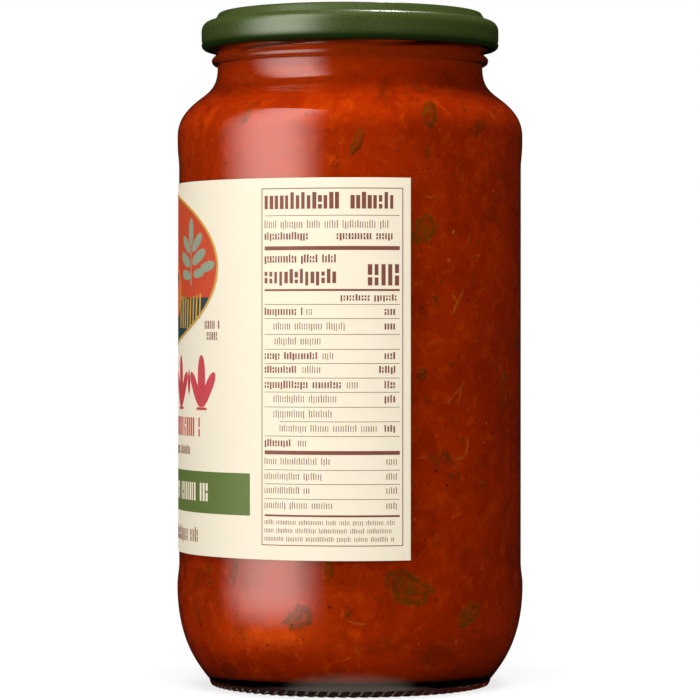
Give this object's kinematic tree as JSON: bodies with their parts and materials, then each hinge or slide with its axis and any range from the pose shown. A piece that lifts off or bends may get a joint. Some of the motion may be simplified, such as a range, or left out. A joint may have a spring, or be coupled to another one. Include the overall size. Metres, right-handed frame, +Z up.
{
  "type": "jar of tomato sauce",
  "caption": "Shut round glass jar filled with tomato sauce, with a twist-off metal lid and a wrap-round paper label.",
  "frame": {"origin": "centre of the jar's base, on the plane it stands on", "axes": "+Z up along the jar's axis, -Y towards the side with the info panel, +X to the right of that side"},
  "size_m": [0.092, 0.092, 0.1786],
  "materials": {
    "glass": "clear polished glass",
    "sauce": "wet chunky tomato sauce with herbs",
    "lid": "satin green lacquer",
    "label": "uncoated cream paper, printed in brown, red and green"
  },
  "bodies": {
    "root": {"jar_glass": "glass", "sauce": "sauce", "lid": "lid", "label": "label"}
  },
  "joints": []
}
